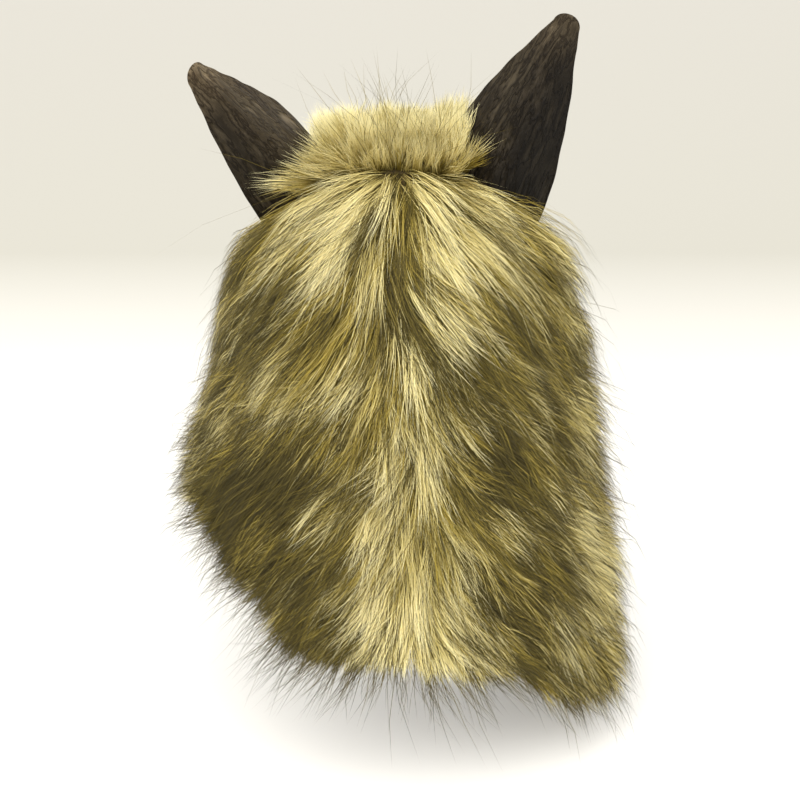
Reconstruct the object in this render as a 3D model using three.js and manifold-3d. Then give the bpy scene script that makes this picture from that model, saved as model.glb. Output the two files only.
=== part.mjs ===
// Wolf head mask: a moulded latex head with two latex ears, dressed with three pieces of deep-pile fur.
// Millimetres. +X is the wearer's right, +Y is forward out of the face, +Z is up.
// The origin is the point inside the crown where the mask sits on the wearer's head.

import * as THREE from "three";
import { LoftGeometry } from "three/addons/geometries/LoftGeometry.js";
import { mergeVertices } from "three/addons/utils/BufferGeometryUtils.js";
import Module from "manifold-3d";

const wasm = await Module();
wasm.setup();

// Driving dimensions
const LATEX_WALL = 2.5;
const EAR_WALL = 3.2;
const BACKING_WALL = 2;
const GLUE_GAP = 0.5; // least gap between the latex and what is fixed to it
const BACKING_GAP = 1.4; // the woven backing bridges the small hollows of the latex
const SEAM_GAP = 0.5; // half the gap between two pieces of fur
const RIM_HEIGHT = -228; // the latex ends here, and the fur hangs lower
const NECK_CLEARANCE = 20; // how far the hollow is cut past the rim

const HEAD_SIDES = 28;
const HEAD_POLE = 0.02; // a row this near the crown point still has a direction
const MUZZLE_SIDES = 20;
const EAR_COLUMNS = 9;
const EGG_SIDES = 12;
const EGG_BANDS = 8;

// Sections of the head from the crown down: half its width, and its reach to the back and to the front.
// Those below the rim carry the hanging fur alone.
const HEAD = [
  { z: 2.5, side: 0, back: 0, front: 0 },
  { z: 0.5, side: 22, back: 24, front: 23 },
  { z: -6.5, side: 42, back: 47, front: 43 },
  { z: -19, side: 60, back: 70, front: 59 },
  { z: -40, side: 75.5, back: 89, front: 72 },
  { z: -68, side: 85, back: 101, front: 80 },
  { z: -100, side: 90, back: 106, front: 83 },
  { z: -135, side: 93.5, back: 106, front: 82 },
  { z: -170, side: 97, back: 104, front: 80 },
  { z: -205, side: 103, back: 103, front: 80 },
  { z: -240, side: 109, back: 105, front: 83 },
  { z: -275, side: 115, back: 108, front: 87 },
  { z: -310, side: 120, back: 111, front: 91 },
  { z: -345, side: 123, back: 113, front: 94 },
  { z: -380, side: 125, back: 114, front: 96 },
];

// Sections of the muzzle from inside the head out to the nose: half its width, and its reach up and down.
const MUZZLE = [
  { y: 30, z: -150, side: 66, up: 58, down: 56 },
  { y: 72, z: -148, side: 60, up: 49, down: 54 },
  { y: 92, z: -150, side: 50, up: 41, down: 48 },
  { y: 115, z: -153, side: 42, up: 33, down: 42 },
  { y: 142, z: -156, side: 37, up: 28, down: 37 },
  { y: 164, z: -157, side: 33, up: 25, down: 32 },
  { y: 178, z: -156, side: 26, up: 20, down: 23 },
  { y: 183, z: -155, side: 15, up: 12, down: 13 },
];

const NOSE = { y: 172, z: -137, side: 17, depth: 17, up: 12 };
const BROW = { x: 33, y: 60, z: -80, side: 36, depth: 25, up: 13, slope_deg: 14 };
const EYE = { x: 38, z: -100, half_width: 16, half_height: 8, slant_deg: 18, depth: 70 };
const MOUTH = { z: -171, gap: 7, corner_y: 104, half_width: 60, front_y: 215 };

// Each ear springs from a point on the side of the crown. The two lean differently, as soft latex does.
const EARS = [
  { name: "ear_left", side: -1, lean_out_deg: 31, lean_back_deg: 22, twist_deg: 52 },
  { name: "ear_right", side: 1, lean_out_deg: 22, lean_back_deg: -2, twist_deg: 22 },
];
const EAR_ROOT = { x: 57, y: 2, z: -26 };

// Sections of an ear from root to tip: its reach to the inner and the outer edge, and the bulge of its back.
const EAR = [
  { z: -14, inner: 34, outer: 32, bulge: 27 },
  { z: 12, inner: 37, outer: 32, bulge: 25 },
  { z: 38, inner: 36, outer: 29, bulge: 20 },
  { z: 64, inner: 29.5, outer: 23.5, bulge: 14.5 },
  { z: 88, inner: 21, outer: 17, bulge: 9.5 },
  { z: 106, inner: 13.5, outer: 11, bulge: 6 },
  { z: 117, inner: 8, outer: 7, bulge: 3.2 },
  { z: 122, inner: 3, outer: 3, bulge: 1.5 },
];

// Edges of the back fur by the angle from the middle of the back. The top is in sections of HEAD from the
// crown, and the two hems, which hang unevenly, are heights.
const FUR_EDGES = [
  { angle: 0, top: 1.27, hem_left: -270, hem_right: -270 },
  { angle: 15, top: 1.3, hem_left: -274, hem_right: -278 },
  { angle: 32, top: 1.55, hem_left: -242, hem_right: -296 },
  { angle: 50, top: 2.3, hem_left: -226, hem_right: -316 },
  { angle: 70, top: 3.6, hem_left: -212, hem_right: -330 },
  { angle: 95, top: 4.9, hem_left: -206, hem_right: -330 },
  { angle: 129, top: 4.9, hem_left: -200, hem_right: -292 },
];

// Lie of the pile by the same angle, turned from straight down towards the face, at the crown and at the hem.
const NAP = [
  { angle: 0, crown_deg: 6, hem_deg: 4 },
  { angle: 20, crown_deg: 36, hem_deg: 16 },
  { angle: 50, crown_deg: 44, hem_deg: 22 },
  { angle: 80, crown_deg: 30, hem_deg: 16 },
  { angle: 105, crown_deg: 12, hem_deg: 8 },
  { angle: 129, crown_deg: 2, hem_deg: 2 },
];
const FUR_COLUMNS = 10; // each as wide as a side of the head
const FUR_ROWS = 10;
const ROW_CROWDING = 1.2; // brings the rows closer together on the round of the crown

// Shape of one lock from its root to its tip, as shares of its length, half width, half thickness and lift.
const LOCK_SHAPE = [
  { along: 0, wide: 0.66, thick: 0.12, lift: 0 },
  { along: 0.3, wide: 1, thick: 0.9, lift: 0.5 },
  { along: 0.68, wide: 0.86, thick: 1, lift: 0.84 },
  { along: 1, wide: 0, thick: 0, lift: 1 },
];
const BACK_LOCK = { length: 84, half_width: 19, half_thick: 8, lift: 20, pitch: 58 };
const LOCK_COLUMNS = 6;
const LOCK_COLUMN_STEP = 22; // degrees
const FIRST_LOCK_ANGLE = 10;
const LOCK_START = 0.12; // share of a pitch from the top edge to the first lock
const LOCK_STAGGER = 0.38; // further share of a pitch, in every other column

// The crown fur is an oval patch between the ears. Its locks stand up and lean forward.
const CROWN = { y: 11, half_width: 50, half_length: 39.5, floor: -34, last_row: 5 };
const CROWN_LOCK = { length: 40, half_width: 13, half_thick: 9 };
const CROWN_ROWS = [
  { y: -19, columns: 4, spread: 28, forward: 0.25, fan: 0.6 },
  { y: -1, columns: 4, spread: 33, forward: 0.45, fan: 0.45 },
  { y: 18, columns: 4, spread: 33, forward: 0.65, fan: 0.4 },
  { y: 36, columns: 3, spread: 22, forward: 0.9, fan: 0.3 },
];

const LATEX = new THREE.MeshStandardMaterial({ color: 0x3a332b, roughness: 0.55, metalness: 0 });
const GOLD_FUR = new THREE.MeshStandardMaterial({ color: 0x7d7040, roughness: 0.85, metalness: 0 });
const PALE_FUR = new THREE.MeshStandardMaterial({ color: 0xb4a66b, roughness: 0.85, metalness: 0 });

const radians = THREE.MathUtils.degToRad;

// Solids and geometries

// A closed geometry as a solid, with coinciding points merged and faces of no area dropped.
function solid(geometry) {
  const bare = new THREE.BufferGeometry();
  bare.setAttribute("position", geometry.getAttribute("position"));
  bare.setIndex(geometry.index);
  const merged = mergeVertices(bare, 1e-4);
  const corners = Array.from(merged.index.array);
  const faces = [];
  for (let i = 0; i < corners.length; i += 3) {
    const [a, b, c] = corners.slice(i, i + 3);
    if (a !== b && b !== c && c !== a) faces.push([a, b, c]);
  }
  return new wasm.Manifold(
    new wasm.Mesh({
      numProp: 3,
      vertProperties: merged.getAttribute("position").array,
      triVerts: new Uint32Array(faces.flat()),
    }),
  );
}

function geometryOf(made) {
  const { vertProperties, triVerts } = made.getMesh();
  const geometry = new THREE.BufferGeometry();
  geometry.setAttribute("position", new THREE.BufferAttribute(vertProperties, 3));
  geometry.setIndex(new THREE.BufferAttribute(triVerts, 1));
  geometry.computeVertexNormals();
  return geometry;
}

function moved(made, matrix) {
  return solid(geometryOf(made).applyMatrix4(matrix));
}

// A surface through rings of points, each counterclockwise as seen from the last ring. It is closed at each
// end unless the ring there is a single point.
function loft(sections) {
  const isRing = (section) => section[0].distanceTo(section[1]) > 1e-6;
  return new LoftGeometry(sections, {
    capStart: isRing(sections[0]),
    capEnd: isRing(sections.at(-1)),
  });
}

// Table lookups

// A column of a table at a row that may lie between two rows, on a smooth curve through them all.
function atRow(table, row, column) {
  const last = table.length - 1;
  const value = (k) => table[THREE.MathUtils.clamp(k, 0, last)][column];
  const k = THREE.MathUtils.clamp(Math.floor(row), 0, last - 1);
  const t = row - k;
  const [a, b, c, d] = [value(k - 1), value(k), value(k + 1), value(k + 2)];
  return b + 0.5 * t * (c - a + t * (2 * a - 5 * b + 4 * c - d + t * (3 * (b - c) + d - a)));
}

// A column of a table at a value of its key column, in a straight line between rows.
function atKey(table, key, wanted, column) {
  const k = table.findIndex((row) => row[key] >= wanted);
  if (k === 0) return table[0][column];
  if (k < 0) return table[table.length - 1][column];
  const share = (wanted - table[k - 1][key]) / (table[k][key] - table[k - 1][key]);
  return THREE.MathUtils.lerp(table[k - 1][column], table[k][column], share);
}

// The row of HEAD at a height below the brow, where the sections come one under the other.
function headRow(height) {
  const k = HEAD.findIndex((section) => section.z <= height);
  return k - (height - HEAD[k].z) / (HEAD[k - 1].z - HEAD[k].z);
}

// Head

// A point on the head's own surface. The angle runs from the middle of the back towards the wearer's right.
function headSurface(angle, row) {
  const reach = Math.cos(angle) > 0 ? "back" : "front";
  return new THREE.Vector3(
    atRow(HEAD, row, "side") * Math.sin(angle),
    -atRow(HEAD, row, reach) * Math.cos(angle),
    atRow(HEAD, row, "z"),
  );
}

// The directions on the surface there: round the head, down it, and out of it.
function headFrame(angle, row) {
  const step = 0.01;
  const upper = Math.max(row - step, HEAD_POLE);
  const round = headSurface(angle + step, row + step).sub(headSurface(angle - step, row + step));
  const down = headSurface(angle, upper + 2 * step).sub(headSurface(angle, upper));
  const out = new THREE.Vector3().crossVectors(down, round).normalize();
  return { round: round.divideScalar(2 * step), down: down.divideScalar(2 * step), out };
}

function headPoint(angle, row, offset) {
  if (row === 0) return new THREE.Vector3(0, 0, HEAD[0].z + offset);
  return headSurface(angle, row).addScaledVector(headFrame(angle, row).out, offset);
}

function headRing(row, offset) {
  const turn = (2 * Math.PI) / HEAD_SIDES;
  return Array.from({ length: HEAD_SIDES }, (_, i) => headPoint(-i * turn, row, offset));
}

// The head as a solid block down to a row, grown by an offset, with its last section carried on below.
function headBlock(offset, lastRow, extra = 0) {
  const rows = [0, 0.5, 1, 1.5];
  for (let row = 2; row < lastRow; row += 1) rows.push(row);
  rows.push(lastRow);
  const sections = rows.map((row) => headRing(row, offset));
  if (extra) sections.push(sections.at(-1).map((p) => p.clone().setZ(p.z - extra)));
  return solid(loft(sections));
}

function muzzleBlock(offset) {
  const turn = (2 * Math.PI) / MUZZLE_SIDES;
  const last = MUZZLE.at(-1);
  const sections = MUZZLE.map((section) =>
    Array.from({ length: MUZZLE_SIDES }, (_, i) => {
      const [across, over] = [-Math.cos(i * turn), Math.sin(i * turn)];
      const reach = (over > 0 ? section.up : section.down) + offset;
      const forward = section === last ? offset : 0;
      const x = (section.side + offset) * across;
      return new THREE.Vector3(x, section.y + forward, section.z + reach * over);
    }),
  );
  return solid(loft(sections));
}

function egg({ side, depth, up }, offset) {
  const shape = new THREE.SphereGeometry(1, EGG_SIDES, EGG_BANDS);
  shape.scale(side + offset, depth + offset, up + offset);
  return shape;
}

// The ridge over one eye, which drops towards the nose.
function browBlock(side, offset) {
  const shape = egg(BROW, offset);
  shape.rotateY(-side * radians(BROW.slope_deg));
  shape.translate(side * BROW.x, BROW.y, BROW.z);
  return solid(shape);
}

function noseBlock(offset) {
  return solid(egg(NOSE, offset).translate(0, NOSE.y, NOSE.z));
}

// The whole latex form as a block, grown by an offset.
function latexForm(offset, lastRow, extra = 0) {
  return headBlock(offset, lastRow, extra)
    .add(muzzleBlock(offset))
    .add(noseBlock(offset))
    .add(browBlock(-1, offset))
    .add(browBlock(1, offset));
}

function eyeHole(side) {
  const outline = new THREE.Shape();
  outline.absellipse(0, 0, EYE.half_width, EYE.half_height, 0, 2 * Math.PI, false, 0);
  const prism = new THREE.ExtrudeGeometry(outline, {
    depth: EYE.depth,
    curveSegments: 10,
    bevelEnabled: false,
  });
  prism.rotateZ(side * radians(EYE.slant_deg));
  prism.rotateX(Math.PI / 2);
  prism.translate(side * EYE.x, EYE.depth / 2 + BROW.y + BROW.depth, EYE.z);
  return solid(prism);
}

function mouthSlot() {
  const slot = new THREE.BoxGeometry(
    2 * MOUTH.half_width,
    MOUTH.front_y - MOUTH.corner_y,
    MOUTH.gap,
  );
  slot.translate(0, (MOUTH.front_y + MOUTH.corner_y) / 2, MOUTH.z);
  return solid(slot);
}

function latexHead() {
  const rimRow = headRow(RIM_HEIGHT);
  return latexForm(0, rimRow)
    .subtract(latexForm(-LATEX_WALL, rimRow, NECK_CLEARANCE))
    .subtract(eyeHole(-1))
    .subtract(eyeHole(1))
    .subtract(mouthSlot());
}

// Ears

// Where an ear stands: its root on the crown, leaning out and back, its cup turned outwards.
function earPlace(ear) {
  const lean = new THREE.Euler(
    radians(ear.lean_back_deg),
    ear.side * radians(ear.lean_out_deg),
    -ear.side * radians(ear.twist_deg),
    "YXZ",
  );
  const root = new THREE.Vector3(ear.side * EAR_ROOT.x, EAR_ROOT.y, EAR_ROOT.z);
  return new THREE.Matrix4().makeRotationFromEuler(lean).setPosition(root);
}

// A point of an ear's cup: across from the inner to the outer edge, on its back or, a wall in, on its front.
function earPoint(section, side, across, inward) {
  const reach = across < 0 ? section.inner : section.outer;
  const bulge = section.bulge * Math.cos((across * Math.PI) / 2);
  const tilt = Math.atan2(section.bulge * Math.sin((across * Math.PI) / 2), reach);
  return new THREE.Vector3(
    side * (across * reach - inward * Math.sin(tilt)),
    -bulge + inward * Math.cos(tilt),
    section.z,
  );
}

// An ear in its own frame, with its root at the origin and its tip up.
function earCup(ear, grown) {
  const across = Array.from({ length: EAR_COLUMNS }, (_, i) => (2 * i) / (EAR_COLUMNS - 1) - 1);
  const sections = EAR.map((bare) => {
    const section = { ...bare, inner: bare.inner + grown, outer: bare.outer + grown };
    const back = across.map((u) => earPoint(section, ear.side, u, -grown));
    const front = across.map((u) => earPoint(section, ear.side, u, EAR_WALL + grown));
    return ear.side > 0 ? [...back, ...front.reverse()] : [...front, ...back.reverse()];
  });
  return solid(loft(sections));
}

// An ear on the head, its root trimmed to sit on the latex.
function earMesh(ear) {
  const place = earPlace(ear);
  const head = moved(latexForm(GLUE_GAP, headRow(RIM_HEIGHT)), place.clone().invert());
  const mesh = piece(ear.name, earCup(ear, 0).subtract(head), LATEX);
  mesh.applyMatrix4(place);
  return mesh;
}

// Fur

// One lock of fur: four-sided rings along its line, tapering to a point.
function lockSolid(stations) {
  const corners = [
    [-1, 0],
    [0, 1],
    [1, 0],
    [0, -1],
  ];
  const sections = stations.map(({ centre, across, over, half_width, half_thick }) =>
    corners.map(([u, v]) =>
      centre
        .clone()
        .addScaledVector(across, u * half_width)
        .addScaledVector(over, v * half_thick),
    ),
  );
  return solid(loft(sections));
}

// How far the pile turns from straight down, at a place on the head.
function napTurn(angle, row) {
  const angleDeg = THREE.MathUtils.radToDeg(angle);
  const crown = atKey(NAP, "angle", angleDeg, "crown_deg");
  const hem = atKey(NAP, "angle", angleDeg, "hem_deg");
  return radians(THREE.MathUtils.mapLinear(row, 0, HEAD.length - 1, crown, hem));
}

// A lock that lies down the head from a root, following the pile.
function lyingLock(side, angleDeg, row, size) {
  let angle = radians(angleDeg);
  let along = 0;
  const stations = LOCK_SHAPE.map((shape) => {
    const turn = napTurn(angle, row);
    const frame = headFrame(angle, row);
    const step = (shape.along - along) * size.length;
    along = shape.along;
    angle += (Math.sin(turn) * step) / frame.round.length();
    row += (Math.cos(turn) * step) / frame.down.length();
    const here = headFrame(side * angle, row);
    const lie = here.down.clone().normalize().multiplyScalar(Math.cos(turn));
    lie.addScaledVector(here.round.clone().normalize(), side * Math.sin(turn));
    return {
      centre: headPoint(side * angle, row, BACKING_GAP + BACKING_WALL / 2 + size.lift * shape.lift),
      across: new THREE.Vector3().crossVectors(lie, here.out).normalize(),
      over: here.out,
      half_width: size.half_width * shape.wide,
      half_thick: size.half_thick * shape.thick,
    };
  });
  return lockSolid(stations);
}

// A lock of the crown, standing on the head and leaning forward.
function standingLock(x, y, forward, fan, size) {
  const angle = Math.atan2(x, -y);
  const row = crownRow(x, y);
  const frame = headFrame(angle, row);
  const root = headPoint(angle, row, BACKING_GAP + BACKING_WALL / 2);
  const grow = frame.out.clone().add(new THREE.Vector3(fan * (x / CROWN.half_width), forward, 0));
  grow.normalize();
  const across = new THREE.Vector3(1, 0, 0).addScaledVector(grow, -grow.x).normalize();
  const over = new THREE.Vector3().crossVectors(across, grow).normalize();
  const stations = LOCK_SHAPE.map((shape) => ({
    centre: root.clone().addScaledVector(grow, size.length * shape.along),
    across,
    over,
    half_width: size.half_width * shape.wide,
    half_thick: size.half_thick * shape.thick,
  }));
  return lockSolid(stations);
}

// The row of HEAD whose section passes over a point of the crown.
function crownRow(x, y) {
  const reach = y < 0 ? "back" : "front";
  let low = HEAD_POLE;
  let high = CROWN.last_row;
  for (let halving = 0; halving < 24; halving++) {
    const row = (low + high) / 2;
    const share = Math.hypot(x / atRow(HEAD, row, "side"), y / atRow(HEAD, row, reach));
    if (share > 1) low = row;
    else high = row;
  }
  return (low + high) / 2;
}

// The woven backing of one side of the back fur, a wall wrapped round the head from the seam to the face.
function backBacking(side) {
  const hem = side < 0 ? "hem_left" : "hem_right";
  const point = (column, share, offset) => {
    const angleDeg = (column * 360) / HEAD_SIDES;
    const top = atKey(FUR_EDGES, "angle", angleDeg, "top");
    const bottom = headRow(atKey(FUR_EDGES, "angle", angleDeg, hem));
    const row = THREE.MathUtils.lerp(top, bottom, share ** ROW_CROWDING);
    const p = headPoint(side * radians(angleDeg), row, offset);
    if (column === 0) p.x = side * SEAM_GAP;
    return p;
  };
  const columns = Array.from({ length: FUR_COLUMNS + 1 }, (_, i) => i);
  const sections = Array.from({ length: FUR_ROWS + 1 }, (_, j) => {
    const inner = columns.map((i) => point(i, j / FUR_ROWS, BACKING_GAP));
    const outer = columns.map((i) => point(i, j / FUR_ROWS, BACKING_GAP + BACKING_WALL));
    return side > 0 ? [...inner, ...outer.reverse()] : [...outer, ...inner.reverse()];
  });
  return solid(loft(sections));
}

// The locks of one side, in columns round the head. Every other column starts lower.
function backLocks(side) {
  const hem = side < 0 ? "hem_left" : "hem_right";
  const locks = [];
  for (let column = 0; column < LOCK_COLUMNS; column++) {
    const angleDeg = FIRST_LOCK_ANGLE + column * LOCK_COLUMN_STEP;
    const top = atKey(FUR_EDGES, "angle", angleDeg, "top");
    const bottom = headRow(atKey(FUR_EDGES, "angle", angleDeg, hem));
    const upper = headSurface(radians(angleDeg), top);
    const length = upper.distanceTo(headSurface(radians(angleDeg), bottom));
    const count = Math.round(length / BACK_LOCK.pitch);
    for (let k = 0; k < count; k++) {
      const share = (k + LOCK_START + (column % 2) * LOCK_STAGGER) / count;
      locks.push(lyingLock(side, angleDeg, THREE.MathUtils.lerp(top, bottom, share), BACK_LOCK));
    }
  }
  return locks;
}

// All that lies across the seam from one side of the back fur.
function acrossSeam(side) {
  const size = 1000;
  const half = new THREE.BoxGeometry(size, size, size);
  half.translate(side * (SEAM_GAP - size / 2), 0, 0);
  return solid(half);
}

function backFur(side, keepClear) {
  return furPiece(backBacking(side), backLocks(side), [...keepClear, acrossSeam(side)]);
}

function crownBacking() {
  const outline = new THREE.Shape();
  outline.absellipse(0, CROWN.y, CROWN.half_width, CROWN.half_length, 0, 2 * Math.PI, false, 0);
  const column = new THREE.ExtrudeGeometry(outline, {
    depth: -2 * CROWN.floor,
    curveSegments: 14,
    bevelEnabled: false,
  });
  column.translate(0, 0, CROWN.floor);
  return headBlock(BACKING_GAP + BACKING_WALL, CROWN.last_row).intersect(solid(column));
}

function crownLocks() {
  return CROWN_ROWS.flatMap(({ y, columns, spread, forward, fan }) =>
    Array.from({ length: columns }, (_, i) => {
      const x = spread * ((2 * i) / (columns - 1) - 1);
      return standingLock(x, y, forward, fan, CROWN_LOCK);
    }),
  );
}

// Joins locks to their backing, and keeps the whole piece clear of the latex under it and beside it. What an ear
// cuts loose is left off.
function furPiece(backing, locks, keepClear) {
  const joined = locks.reduce((whole, lock) => whole.add(lock), backing);
  const bodies = keepClear.reduce((left, form) => left.subtract(form), joined).decompose();
  return bodies.reduce((largest, body) => (body.volume() > largest.volume() ? body : largest));
}

// Assembly

function piece(name, made, material) {
  const mesh = new THREE.Mesh(geometryOf(made), material);
  mesh.name = name;
  return mesh;
}

const latex = new THREE.Group();
latex.add(piece("latex_head", latexHead(), LATEX));
latex.add(...EARS.map(earMesh));

const headCore = latexForm(GLUE_GAP, HEAD.length - 1);
const earForms = EARS.map((ear) => moved(earCup(ear, GLUE_GAP), earPlace(ear)));
const keepClear = [headCore, ...earForms];

const fur = new THREE.Group();
fur.add(piece("crown_fur", furPiece(crownBacking(), crownLocks(), keepClear), PALE_FUR));
fur.add(piece("back_fur_left", backFur(-1, keepClear), GOLD_FUR));
fur.add(piece("back_fur_right", backFur(1, keepClear), GOLD_FUR));

const mask = new THREE.Group();
mask.add(latex, fur);

export default mask;
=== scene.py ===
"""Wolf head mask: a moulded latex head and ears, dressed with deep-pile fur on the crown and down the back.

Metres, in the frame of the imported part: +X to the wearer's right, +Y out of the face, +Z up. Angles round
the head start at the middle of the back and grow towards the face on either side.
"""

import math

import bmesh
import bpy
import numpy as np
from mathutils import Matrix, Vector, noise


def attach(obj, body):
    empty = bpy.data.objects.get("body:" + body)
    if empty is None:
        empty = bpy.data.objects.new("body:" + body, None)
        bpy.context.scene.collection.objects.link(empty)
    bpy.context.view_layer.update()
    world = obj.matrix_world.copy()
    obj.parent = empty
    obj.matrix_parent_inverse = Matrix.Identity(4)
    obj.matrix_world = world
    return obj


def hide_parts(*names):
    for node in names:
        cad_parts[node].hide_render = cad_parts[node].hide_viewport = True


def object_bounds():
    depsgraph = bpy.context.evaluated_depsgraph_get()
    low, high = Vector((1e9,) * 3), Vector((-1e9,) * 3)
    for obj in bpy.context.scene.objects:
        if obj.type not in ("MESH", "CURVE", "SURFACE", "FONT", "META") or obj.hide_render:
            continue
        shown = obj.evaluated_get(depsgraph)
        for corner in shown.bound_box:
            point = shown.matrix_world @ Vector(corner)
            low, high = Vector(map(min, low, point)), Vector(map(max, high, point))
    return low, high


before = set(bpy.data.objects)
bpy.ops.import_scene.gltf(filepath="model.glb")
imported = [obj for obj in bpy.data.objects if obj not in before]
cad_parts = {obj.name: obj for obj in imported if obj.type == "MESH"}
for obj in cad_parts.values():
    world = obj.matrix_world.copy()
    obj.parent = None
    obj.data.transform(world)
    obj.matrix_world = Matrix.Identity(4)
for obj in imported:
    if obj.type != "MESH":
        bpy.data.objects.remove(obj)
cad_low, cad_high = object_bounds()
bpy.ops.object.select_all(action="DESELECT")

MM = 0.001
RNG = np.random.default_rng(seed=7)
X, Y, Z = range(3)
# Places that lie nearer than this count as one
SAME_PLACE = 1e-6

# Sections of the head from the crown down, in millimetres: height, half width, reach back and forward
HEAD = (
    (2.5, 0, 0, 0),
    (0.5, 22, 24, 23),
    (-6.5, 42, 47, 43),
    (-19, 60, 70, 59),
    (-40, 75.5, 89, 72),
    (-68, 85, 101, 80),
    (-100, 90, 106, 83),
    (-135, 93.5, 106, 82),
    (-170, 97, 104, 80),
    (-205, 103, 103, 80),
    (-240, 109, 105, 83),
    (-275, 115, 108, 87),
    (-310, 120, 111, 91),
    (-345, 123, 113, 94),
    (-380, 125, 114, 96),
)
HEAD_NAMES = ("z", "side", "back", "front")
HEAD_COLUMNS = {name: MM * np.array(values) for name, values in zip(HEAD_NAMES, zip(*HEAD))}
# The lowest row that a hair follows, just above the last section
LAST_ROW = len(HEAD) - 1.02
RIM = -228 * MM
LATEX_WALL = 2.5 * MM

# Sections of the muzzle from the head to the nose, in millimetres: forward, height, half width, up, down
MUZZLE = (
    (30, -150, 66, 58, 56),
    (72, -148, 60, 49, 54),
    (92, -150, 50, 41, 48),
    (115, -153, 42, 33, 42),
    (142, -156, 37, 28, 37),
    (164, -157, 33, 25, 32),
    (178, -156, 26, 20, 23),
    (183, -155, 15, 12, 13),
)

# Sections of an ear from root to tip, in millimetres: height, reach to the inner and outer edge, bulge
EAR = (
    (-14, 34, 32, 27),
    (12, 37, 32, 25),
    (38, 36, 29, 20),
    (64, 29.5, 23.5, 14.5),
    (88, 21, 17, 9.5),
    (106, 13.5, 11, 6),
    (117, 8, 7, 3.2),
    (122, 3, 3, 1.5),
)
EAR_WALL = 3.2 * MM
EAR_ROOT = Vector((57, 2, -26)) * MM
# Each ear: side, lean outwards, lean to the back and twist of its cup outwards, in degrees
EARS = {
    "ear_left": (-1, 31, 22, 52),
    "ear_right": (1, 22, -2, 22),
}

# Edges of the back fur: angle in degrees, top edge as a row of HEAD, left and right hem in millimetres
FUR_EDGES = np.array((
    (0, 1.27, -270, -270),
    (15, 1.3, -274, -278),
    (32, 1.55, -242, -296),
    (50, 2.3, -226, -316),
    (70, 3.6, -212, -330),
    (95, 4.9, -206, -330),
    (129, 4.9, -200, -292),
))
# Lie of the pile, turned from straight down away from the parting: angle, at crown, at hem, in degrees
NAP = np.array((
    (0, 0, 0),
    (10, 20, 22),
    (25, 37, 31),
    (50, 41, 23),
    (80, 30, 15),
    (105, 14, 10),
    (129, 4, 4),
))
# The parting, which strays off the seam: height in millimetres, angle in degrees
PARTING = np.array((
    (-380, 0),
    (-300, 2),
    (-262, 5),
    (-215, 11),
    (-165, 8),
    (-95, 2),
    (-50, -2),
    (0, 0),
))
BACKING_GAP = 1.4 * MM
BACKING_WALL = 2 * MM
SEAM_GAP = 0.5 * MM

# The crown's fur: how far forward its centre lies, half width and depth, the right side's share of the width
CROWN_CENTRE = 11 * MM
CROWN_HALF = (50 * MM, 39.5 * MM)
CROWN_RIGHT = 0.8
CROWN_SQUARENESS = 4
# How far the crown's backing reaches to the left, as a share: place from the rear at -1, share
CROWN_LEFT = ((-0.6, -0.1), (1, 0.68))
# The rows of HEAD that the crown lies between, and how often that span is halved to find a row
CROWN_ROWS = (0.05, 6)
CROWN_HALVINGS = 24


# The head's surface, for arrays of angles and rows

def head_column(name, row):
    """A column of HEAD at fractional rows, on a smooth curve through all its sections."""
    return smooth_lookup(HEAD_COLUMNS[name], row)


def smooth_lookup(values, row):
    last = len(values) - 1
    k = np.clip(np.floor(row).astype(int), 0, last - 1)
    t = row - k
    a, b, c, d = (values[np.clip(k + i, 0, last)] for i in (-1, 0, 1, 2))
    return b + 0.5 * t * (c - a + t * (2 * a - 5 * b + 4 * c - d + t * (3 * (b - c) + d - a)))


def head_surface(angle, row):
    reach = np.where(np.cos(angle) > 0, head_column("back", row), head_column("front", row))
    x = head_column("side", row) * np.sin(angle)
    return np.stack([x, -reach * np.cos(angle), head_column("z", row)], -1)


def unit(vectors):
    return vectors / np.maximum(np.linalg.norm(vectors, axis=-1, keepdims=True), 1e-12)


def head_frame(angle, row):
    """Per radian round the head, per row down it, and the unit vector out of it."""
    step = 0.01
    around = (head_surface(angle + step, row) - head_surface(angle - step, row)) / (2 * step)
    down = (head_surface(angle, row + step) - head_surface(angle, row - step)) / (2 * step)
    return around, down, unit(np.cross(down, around))


def row_at(height):
    """The row of HEAD at a height in metres, below the crown's round."""
    heights = HEAD_COLUMNS["z"]
    return np.interp(-height, -heights, np.arange(len(heights)))


def crown_rows(x, y):
    """The rows of HEAD whose sections pass over points of the crown."""
    low, high = (np.full_like(x, row) for row in CROWN_ROWS)
    for _ in range(CROWN_HALVINGS):
        row = (low + high) / 2
        reach = np.where(y < 0, head_column("back", row), head_column("front", row))
        outside = np.hypot(x / head_column("side", row), y / reach) > 1
        low = np.where(outside, row, low)
        high = np.where(outside, high, row)
    return (low + high) / 2


# Modelling helpers

def active(obj):
    bpy.ops.object.select_all(action="DESELECT")
    obj.select_set(True)
    bpy.context.view_layer.objects.active = obj


def pick(obj, wanted):
    """In edit mode, selects just the vertices whose place is wanted."""
    mesh = bmesh.from_edit_mesh(obj.data)
    for vertex in mesh.verts:
        vertex.select = wanted(vertex.co)
    mesh.select_flush_mode()
    bmesh.update_edit_mesh(obj.data)


def added(name):
    obj = bpy.context.object
    obj.name = name
    obj.data.name = name
    return obj


def apply_modifier(obj, kind, **settings):
    active(obj)
    modifier = obj.modifiers.new(kind.lower(), kind)
    for key, value in settings.items():
        setattr(modifier, key, value)
    bpy.ops.object.modifier_apply(modifier=modifier.name)


def stretch(axis, factor):
    """Scales what is selected along an axis, about the origin."""
    value = [factor if k == axis else 1 for k in range(3)]
    bpy.ops.transform.resize(value=value, center_override=(0, 0, 0))


def settle(obj):
    """Puts an object's place, turn and size into its mesh."""
    active(obj)
    bpy.ops.object.transform_apply(location=True, rotation=True, scale=True)


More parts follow.
